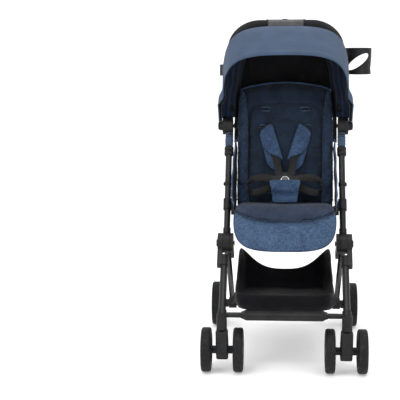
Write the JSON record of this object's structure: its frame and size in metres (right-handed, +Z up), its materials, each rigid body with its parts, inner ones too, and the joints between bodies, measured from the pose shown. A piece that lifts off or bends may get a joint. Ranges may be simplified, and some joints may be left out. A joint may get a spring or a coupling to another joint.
{
  "type": "baby stroller",
  "caption": "Compact folding baby stroller with a hood, a reclining padded seat with harness, a basket, swivelling front wheels and a clip-on cup holder.",
  "frame": {"origin": "on the floor in the plane of symmetry, near the middle of the wheelbase", "axes": "+Z up, the child faces -Y, +X is the left side of someone pushing it"},
  "size_m": [0.5299, 0.6865, 1.0472],
  "materials": {
    "black_tube": "satin powder coat, slightly grained",
    "dark_steel": "darkened steel, satin",
    "black_plastic": "moulded, fine texture",
    "grey_plastic": "moulded, satin",
    "grip_foam": "closed-cell foam, matte",
    "navy_cloth": "woven polyester, dark navy",
    "heather_cloth": "heathered woven polyester, mid blue",
    "blue_cloth": "fine canvas, slate blue",
    "black_cloth": "nylon, black",
    "webbing": "woven strap, black",
    "tyre": "foam rubber, matte"
  },
  "bodies": {
    "seat_frame": {"side_tubes": "black_tube", "knuckle_cores": "black_plastic", "hub_shells": "black_plastic", "frame_pins": "dark_steel", "seat_clips": "black_plastic", "recline_brackets": "black_plastic", "seat_rail": "black_tube", "seat_pan": "black_plastic", "seat_cushion": "navy_cloth", "calf_rest": "heather_cloth", "crotch_pad": "heather_cloth", "buckle_body": "black_plastic", "waist_straps": "webbing", "side_wings": "blue_cloth", "canopy_rear_bow": "black_tube", "canopy_rear_panel": "blue_cloth", "canopy_back_wall": "navy_cloth"},
    "seat_back": {"back_frame": "black_tube", "back_board": "black_plastic", "back_cushion": "navy_cloth", "shoulder_pads": "heather_cloth", "shoulder_straps": "webbing"},
    "front_legs": {"front_leg_tubes": "black_tube", "front_leg_fittings": "black_plastic", "footrest_bar": "black_tube", "footrest_step": "black_plastic", "basket": "black_cloth"},
    "rear_legs": {"rear_leg_tubes": "black_tube", "rear_leg_fittings": "black_plastic", "rear_axle_bar": "dark_steel"},
    "brake": {"brake_pedal": "black_plastic"},
    "caster_left": {"caster_left_fork": "black_plastic", "caster_left_axle": "dark_steel"},
    "caster_right": {"caster_right_fork": "black_plastic", "caster_right_axle": "dark_steel"},
    "handle": {"handle_tube": "black_tube", "handle_sockets": "black_plastic", "handle_grips": "grip_foam", "handle_housing": "grey_plastic", "cup_holder_clamp": "black_plastic", "cup_holder": "black_plastic"},
    "trigger": {"fold_trigger": "black_plastic"},
    "lock": {"fold_lock": "black_plastic"},
    "canopy_mid": {"canopy_mid_bow": "black_tube", "canopy_mid_panel": "blue_cloth"},
    "canopy_front": {"canopy_front_bow": "black_tube", "canopy_front_panel": "blue_cloth"},
    "button": {"buckle_button": "grey_plastic"},
    "wheel_front_left_outer": {"front_left_outer_tyre": "tyre", "front_left_outer_hub": "black_plastic"},
    "wheel_front_left_inner": {"front_left_inner_tyre": "tyre", "front_left_inner_hub": "black_plastic"},
    "wheel_front_right_outer": {"front_right_outer_tyre": "tyre", "front_right_outer_hub": "black_plastic"},
    "wheel_front_right_inner": {"front_right_inner_tyre": "tyre", "front_right_inner_hub": "black_plastic"},
    "wheel_rear_left": {"rear_left_tyre": "tyre", "rear_left_hub": "black_plastic"},
    "wheel_rear_right": {"rear_right_tyre": "tyre", "rear_right_hub": "black_plastic"}
  },
  "joints": [
    {"name": "frame_fold", "type": "hinge", "parent": "seat_frame", "child": "front_legs", "pos_m": [0, -0.105, 0.36], "axis": [-1, 0, 0], "range_deg": [0, 136]},
    {"name": "rear_legs_fold", "type": "hinge", "parent": "front_legs", "child": "rear_legs", "pos_m": [0, -0.105, 0.36], "axis": [-1, 0, 0], "range_deg": [0, 62]},
    {"name": "handle_fold", "type": "hinge", "parent": "seat_frame", "child": "handle", "pos_m": [0, 0.11, 0.705], "axis": [-1, 0, 0], "range_deg": [0, 149]},
    {"name": "back_recline", "type": "hinge", "parent": "seat_frame", "child": "seat_back", "pos_m": [0, 0.078, 0.436], "axis": [1, 0, 0], "range_deg": [-50, 0]},
    {"name": "canopy_fold", "type": "hinge", "parent": "seat_frame", "child": "canopy_mid", "pos_m": [0, 0.11, 0.705], "axis": [1, 0, 0], "range_deg": [-24, 0]},
    {"name": "canopy_front_fold", "type": "hinge", "parent": "canopy_mid", "child": "canopy_front", "pos_m": [0, 0.11, 0.705], "axis": [1, 0, 0], "range_deg": [-22, 0]},
    {"name": "caster_left_swivel", "type": "hinge", "parent": "front_legs", "child": "caster_left", "pos_m": [0.185, -0.305, 0.15], "axis": [0, 0, 1], "continuous": true},
    {"name": "front_left_outer_spin", "type": "hinge", "parent": "caster_left", "child": "wheel_front_left_outer", "pos_m": [0.233, -0.275, 0.067], "axis": [1, 0, 0], "continuous": true},
    {"name": "front_left_inner_spin", "type": "hinge", "parent": "caster_left", "child": "wheel_front_left_inner", "pos_m": [0.137, -0.275, 0.067], "axis": [1, 0, 0], "continuous": true},
    {"name": "caster_right_swivel", "type": "hinge", "parent": "front_legs", "child": "caster_right", "pos_m": [-0.185, -0.305, 0.15], "axis": [0, 0, 1], "continuous": true},
    {"name": "front_right_outer_spin", "type": "hinge", "parent": "caster_right", "child": "wheel_front_right_outer", "pos_m": [-0.233, -0.275, 0.067], "axis": [1, 0, 0], "continuous": true},
    {"name": "front_right_inner_spin", "type": "hinge", "parent": "caster_right", "child": "wheel_front_right_inner", "pos_m": [-0.137, -0.275, 0.067], "axis": [1, 0, 0], "continuous": true},
    {"name": "rear_left_spin", "type": "hinge", "parent": "rear_legs", "child": "wheel_rear_left", "pos_m": [0.2325, 0.27, 0.0745], "axis": [1, 0, 0], "continuous": true},
    {"name": "rear_right_spin", "type": "hinge", "parent": "rear_legs", "child": "wheel_rear_right", "pos_m": [-0.2325, 0.27, 0.0745], "axis": [1, 0, 0], "continuous": true},
    {"name": "brake_press", "type": "hinge", "parent": "rear_legs", "child": "brake", "pos_m": [0.125, 0.27, 0.0745], "axis": [-1, 0, 0], "range_deg": [0, 22]},
    {"name": "trigger_pull", "type": "slide", "parent": "handle", "child": "trigger", "axis": [0, 0, 1], "range_m": [0, 0.0025], "stiffness_N_per_m": 300},
    {"name": "lock_slide", "type": "slide", "parent": "handle", "child": "lock", "axis": [1, 0, 0], "range_m": [0, 0.006], "stiffness_N_per_m": 120},
    {"name": "buckle_press", "type": "slide", "parent": "seat_frame", "child": "button", "axis": [0, 0.9135, -0.4067], "range_m": [0, 0.003], "stiffness_N_per_m": 300}
  ],
  "couplings": [
    {"joint": "rear_legs_fold", "follows": "frame_fold", "ratio": 0.45588},
    {"joint": "handle_fold", "follows": "frame_fold", "ratio": 1.0956},
    {"joint": "canopy_front_fold", "follows": "canopy_fold", "ratio": 0.91667}
  ]
}
